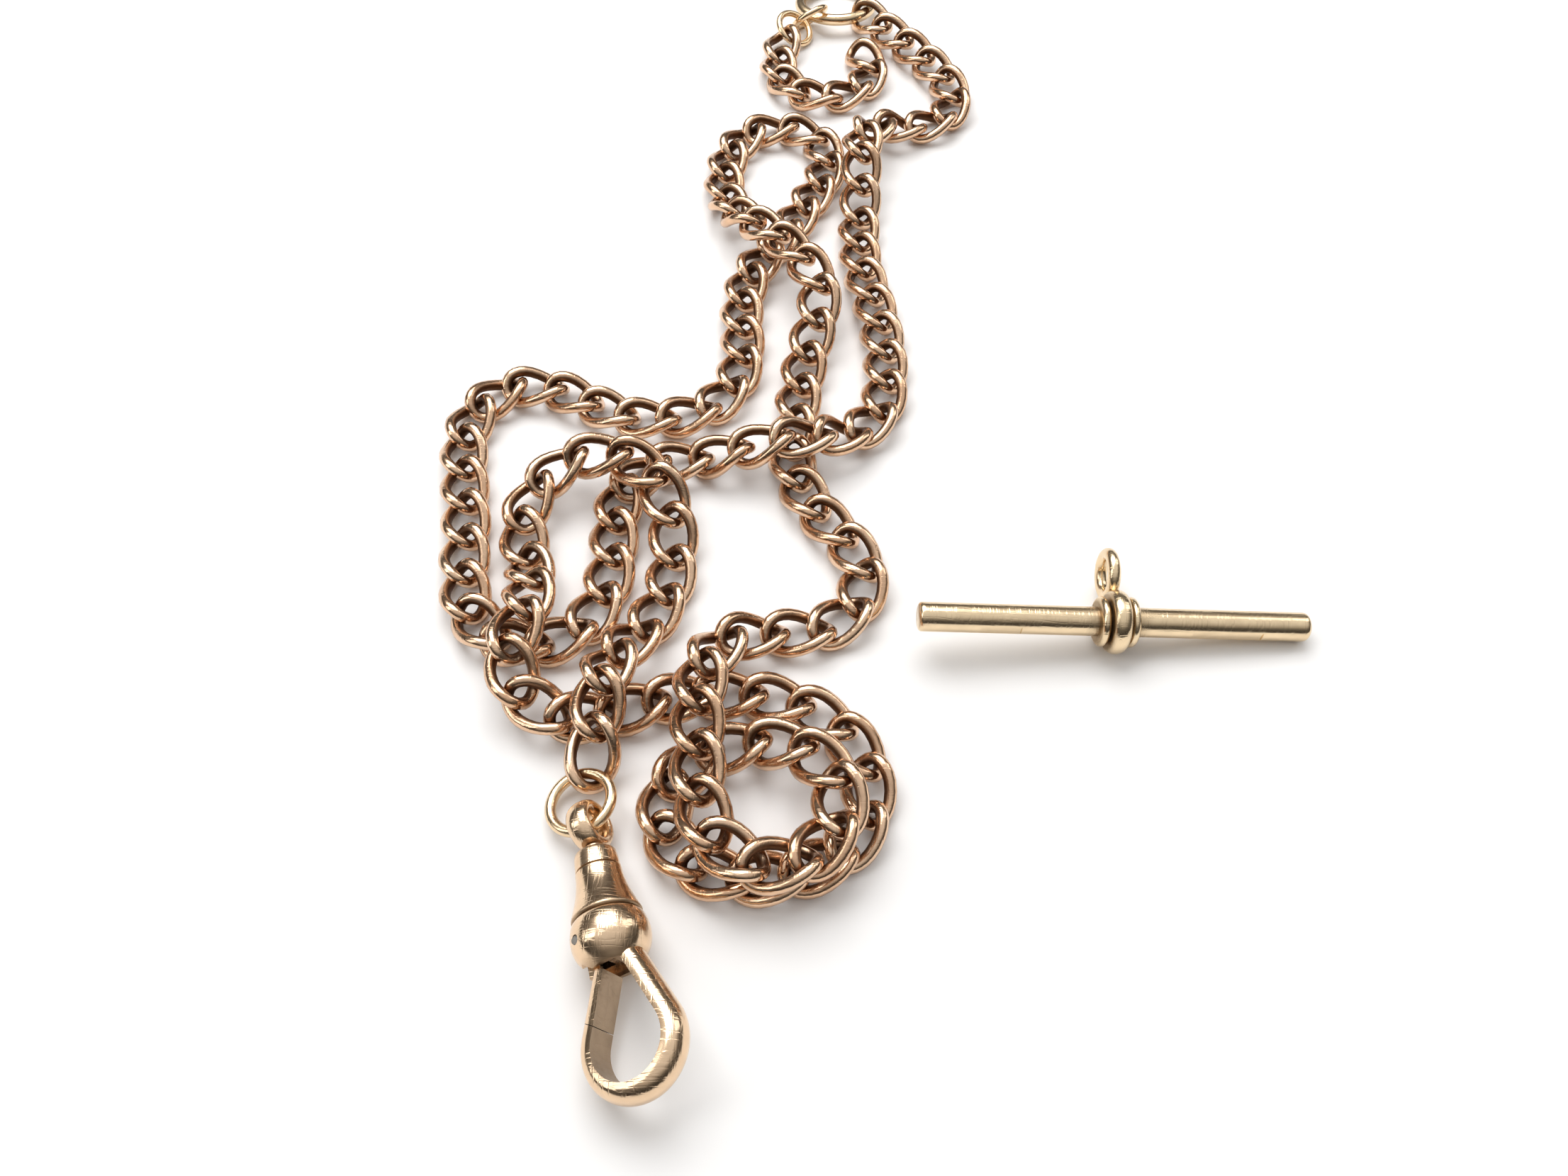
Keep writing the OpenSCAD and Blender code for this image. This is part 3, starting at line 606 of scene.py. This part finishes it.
back_angle, back_length = arm(BACK, 1)
gate_angle, gate_length = arm(GATE, -1)
along_gate = Vector((math.cos(gate_angle), -math.sin(gate_angle), 0))
joint = GATE + (gate_length - 0.9) * along_gate
across = Vector((math.cos(math.radians(CUT_ANGLE)), math.sin(math.radians(CUT_ANGLE)), 0))
print("arms", round(back_length, 2), round(gate_length, 2), "mm")


def half_round(bm):
    """the section's face, its flat side on the line y = 0, looking along x"""
    rim = []
    for i in range(17):
        a = math.radians(-90 + 180 * i / 16)
        rim.append(bm.verts.new((0, THICK * math.cos(a) ** 0.8, WIDE / 2 * math.sin(a))))
    return bm.faces.new(rim)


def drawn_out(bm, face, way, steps=1, start_cap=True):
    """draws a section out in steps, and keeps only its start cap and its far end"""
    for k in range(steps):
        made = bmesh.ops.extrude_face_region(bm, geom=[face])["geom"]
        bmesh.ops.translate(bm, vec=way / steps,
                            verts=[v for v in made if isinstance(v, bmesh.types.BMVert)])
        if (k or not start_cap) and face.is_valid:
            bmesh.ops.delete(bm, geom=[face], context="FACES_ONLY")
        face = next(f for f in made if isinstance(f, bmesh.types.BMFace))
    return face


def trimmed(bm, spot, normal, below=9.0):
    """cuts away what lies beyond a plane, on the side where y is under a limit, and closes it"""
    verts = [v for v in bm.verts if v.co.y < below]
    faces = [f for f in bm.faces if all(v.co.y < below for v in f.verts)]
    edges = [e for e in bm.edges if all(v.co.y < below for v in e.verts)]
    geom = verts + edges + faces
    made = bmesh.ops.bisect_plane(bm, geom=geom, dist=0.0001, plane_co=spot, plane_no=normal,
                                  clear_outer=True)["geom_cut"]
    rim = [e for e in made if isinstance(e, bmesh.types.BMEdge)]
    bmesh.ops.holes_fill(bm, edges=rim, sides=0)


def paint_shade_inside(bm):
    """faces that span the whole band are its flat inner side and its cut ends; they take the second
    material, painted shade
    """
    marked = 0
    for face in bm.faces:
        level = [v.co.z for v in face.verts]
        if max(level) - min(level) > 0.9 * WIDE:
            face.material_index = 1
            marked += 1
    return marked


# %% Hook
bm = bmesh.new()
face = half_round(bm)
lay = Matrix.Translation(BACK) @ Matrix.Rotation(back_angle, 4, "Z")
bmesh.ops.transform(bm, matrix=lay, verts=bm.verts)
along_back = Vector((math.cos(back_angle), math.sin(back_angle), 0))
face = drawn_out(bm, face, along_back * back_length, 8)
made = bmesh.ops.spin(bm, geom=[face], cent=BEND, axis=(0, 0, -1),
                      angle=math.pi + back_angle + gate_angle, steps=40,
                      use_merge=False, use_duplicate=False)["geom_last"]
if face.is_valid:
    bmesh.ops.delete(bm, geom=[face], context="FACES_ONLY")
last = next(f for f in made if isinstance(f, bmesh.types.BMFace))
drawn_out(bm, last, -along_gate * gate_length, 4, start_cap=False)
trimmed(bm, joint + across * CUT_GAP, -across, below=0.2)
open_edges = sum(1 for e in bm.edges if len(e.link_faces) != 2)
print("hook's open edges", open_edges, "painted shade faces", paint_shade_inside(bm))
bmesh.ops.transform(bm, matrix=CLIP, verts=bm.verts)
hook_low = min(v.co.z for v in bm.verts)
hook = add_piece("hook_band", bm, "clip_body", ["hook_bend"], pale_gold, 35)
# The second material paints shade on the inner side and the cut ends.
hook.data.materials.append(shaded_inner_gold)
print("hook's lowest point", round(hook_low, 2), "mm")

# %% Gate
bm = bmesh.new()
face = half_round(bm)
lay = Matrix.Translation(GATE) @ Matrix.Rotation(-gate_angle, 4, "Z") @ Matrix.Scale(-1, 4, (0, 1, 0))
bmesh.ops.transform(bm, matrix=lay, verts=bm.verts)
drawn_out(bm, face, along_gate * gate_length, 8)
trimmed(bm, joint, across)
print("gate's open edges", sum(1 for e in bm.edges if len(e.link_faces) != 2))
paint_shade_inside(bm)
bmesh.ops.transform(bm, matrix=CLIP, verts=bm.verts)
gate = add_piece("gate_band", bm, "gate", ["gate_arm"], pale_gold, 35)
# The second material paints shade on the inner side and the cut ends.
gate.data.materials.append(shaded_inner_gold)

# %% [markdown]
# The T-bar is a plain rod with a soft end on one side and a crisp one on the other. Three round
# beads at its middle hide the joint with the loop. Rod and beads are lathe shapes. The beads are a
# little narrower than in the CAD, so that the grooves between them show. Two shallow flats were
# filed on its front, and they are left plain.

# %% T-bar rod
BAR_LENGTH, BAR_DIAMETER, BEAD_DIAMETER, SIDE_BEAD_DIAMETER = 35.2, 2.6, 5.7, 4.46
BEAD_WIDTH, SIDE_BEAD_WIDTH, BEAD_GROOVE = 1.7, 0.95, 0.12
LOOP_DIAMETER, LOOP_WIRE = 4.9, 1.15
lean = math.asin((BEAD_DIAMETER - BAR_DIAMETER) / BAR_LENGTH)
BAR = Matrix.Translation((29.2, 66.2, BEAD_DIAMETER / 2)) @ turn(0, math.degrees(lean), 1.5)
bm = bmesh.new()
rod = [(-17.6, 0), (-17.6, 1.02), (-17.56, 1.14), (-17.48, 1.24), (-17.36, 1.295), (-17.2, 1.3),
       (-17.0, 1.3)]
rod += [(x / 2, 1.3) for x in range(-33, 33, 3)]
rod += rounded([(16.7, 1.3), (17.05, 1.29), (17.3, 1.22), (17.5, 1.02), (17.58, 0.75), (17.6, 0.4)])
rod += [(17.6, 0)]
lathe(bm, rod, Matrix.Identity(4))
bm = cut(bm, [box_tool((-12.2, -2.4, -2), (-8.6, -1.18, 2)),
              box_tool((6.7, -2.4, -2), (13.1, -1.18, 2))], BAR)
# Painted shade and tarnish on the rod, darkest beside the beads.
shade_and_tarnish_where_parts_meet(bm, BAR, lambda x, r: max(1.6 - abs(x) * 0.62, 0.0))
add_piece("bar_rod", bm, "t_bar", ["bar"], yellow_gold, 30)


# %% Beads
def bead(bm, middle, diameter, width):
    waist = diameter / 2 - 0.5
    rim = [(middle + width / 2 * math.sin(a), waist + 0.5 * math.cos(a))
           for a in (math.radians(-90 + 180 * i / 14) for i in range(15))]
    lathe(bm, [(middle - width / 2, 1.3)] + rim + [(middle + width / 2, 1.3),
                                                  (middle - width / 2, 1.3)], BAR)


SIDE_PLACE = (BEAD_WIDTH + SIDE_BEAD_WIDTH) / 2
for node, middle, diameter, width in (
    ("collar_left", -SIDE_PLACE, SIDE_BEAD_DIAMETER, SIDE_BEAD_WIDTH),
    ("collar_middle", 0, BEAD_DIAMETER, BEAD_WIDTH),
    ("collar_right", SIDE_PLACE, SIDE_BEAD_DIAMETER, SIDE_BEAD_WIDTH),
):
    bm = bmesh.new()
    bead(bm, middle, diameter, width - BEAD_GROOVE)
    # Painted shade and tarnish, darker towards the rod, in the grooves between the beads.
    shade_and_tarnish_where_parts_meet(bm, BAR, lambda x, r: (diameter / 2 - r) * 2.4 - 0.25)
    add_piece(node + "_bead", bm, "t_bar", [node], yellow_gold, 60)

# %% Loop on the bar
bm = bmesh.new()
reach = (BEAD_DIAMETER + LOOP_DIAMETER) / 2 - 0.45
stand = (BAR @ Matrix.Rotation(math.radians(4), 4, "X") @ Matrix.Translation((0, reach, 0))
         @ Matrix.Rotation(math.pi / 2, 4, "Y"))
wire_ring(bm, LOOP_DIAMETER, LOOP_WIRE, stand)
add_piece("bar_eye_loop", bm, "t_bar", ["bar_eye"], yellow_gold)
print("T-bar is", BAR_LENGTH, "mm long")

# %% [markdown]
# The small inner parts keep their CAD shape: the swivel's stem and head, the gate's tail, its
# pin and its leaf spring. They only need a finish.

# %% Finish the parts that stay as drawn
FINISH = {
    "swivel_stem": (pale_gold, "pale_gold"), "swivel_head": (pale_gold, "pale_gold"),
    "gate_knuckle": (pale_gold, "pale_gold"), "gate_pin": (spring_steel, "spring_steel"),
    "gate_spring": (spring_steel, "spring_steel"),
}
for node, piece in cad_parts.items():
    material, slot = FINISH.get(node, (rose_gold, "rose_gold"))
    piece.data.materials.clear()
    piece.data.materials.append(material)
print("kept as drawn", sorted(FINISH))

# %% [markdown]
# Polished gold shows its surroundings more than itself. A pale floor fills its lower half with
# light, a broad soft light from above gives the cream line along each wire, and a darker ring
# near the horizon draws the brown edges that make the shapes read.

# %% Floor
bm = bmesh.new()
bmesh.ops.create_grid(bm, x_segments=2, y_segments=2, size=1.5)
floor_mesh = bpy.data.meshes.new("floor")
bm.to_mesh(floor_mesh)
bm.free()
floor = bpy.data.objects.new("floor", floor_mesh)
bpy.context.scene.collection.objects.link(floor)
paper = bpy.data.materials.new("pale paper")
paper.use_nodes = True
paper.node_tree.nodes["Principled BSDF"].inputs["Base Color"].default_value = (0.93, 0.925, 0.92, 1)
paper.node_tree.nodes["Principled BSDF"].inputs["Roughness"].default_value = 0.9
floor_mesh.materials.append(paper)

# %% Studio surroundings
bpy.context.scene.view_settings.view_transform = "Standard"
world = bpy.data.worlds.new("studio")
bpy.context.scene.world = world
world.use_nodes = True
tree = world.node_tree
sky = tree.nodes["Background"]
sight = tree.nodes.new("ShaderNodeTexCoord")
height = tree.nodes.new("ShaderNodeSeparateXYZ")
ramp = tree.nodes.new("ShaderNodeValToRGB")
tree.links.new(sight.outputs["Generated"], height.inputs["Vector"])
tree.links.new(height.outputs["Z"], ramp.inputs["Fac"])
tree.links.new(ramp.outputs["Color"], sky.inputs["Color"])
stops = ramp.color_ramp.elements
stops[0].position, stops[0].color = 0.0, (0.07, 0.06, 0.05, 1)
stops[1].position, stops[1].color = 0.85, (1.0, 1.0, 1.0, 1)
for position, value in ((0.28, 0.10), (0.48, 0.22), (0.66, 0.62)):
    stop = stops.new(position)
    stop.color = (value, value * 0.96, value * 0.91, 1)
shade = math_node(tree, "MULTIPLY_ADD", height.outputs["Y"], 0.3)
shade.node.inputs[2].default_value = 0.85
tree.links.new(shade, sky.inputs["Strength"])


# %% Soft lights
def softbox(name, spot, size, power):
    lamp = bpy.data.lights.new(name, "AREA")
    lamp.shape = "RECTANGLE"
    lamp.size, lamp.size_y = size
    lamp.energy = power
    light = bpy.data.objects.new(name, lamp)
    light.location = spot
    light.rotation_euler = (-Vector(spot)).to_track_quat("-Z", "Y").to_euler()
    bpy.context.scene.collection.objects.link(light)


softbox("top light", (-0.1, 0.24, 0.46), (0.5, 0.42), 2.3)
softbox("left light", (-0.5, -0.1, 0.32), (0.2, 0.4), 0.55)
softbox("right light", (0.45, 0.25, 0.35), (0.2, 0.4), 0.4)
print("lights", 3)

# %% [markdown]
# The viewer stands at the chain's near end, a hand's breadth above the table, and looks down
# steeply. The lens is a little wide, so the near clip looks larger than the far ring.

# %% Camera
lens = bpy.data.cameras.new("view")
lens.sensor_width = 36
lens.lens = 31.18
lens.clip_start = 0.001
camera = bpy.data.objects.new("view", lens)
camera.location = (-0.00654, -0.0969, 0.10261)
camera.rotation_euler = (math.radians(35), 0, 0)
bpy.context.scene.collection.objects.link(camera)
bpy.context.scene.camera = camera
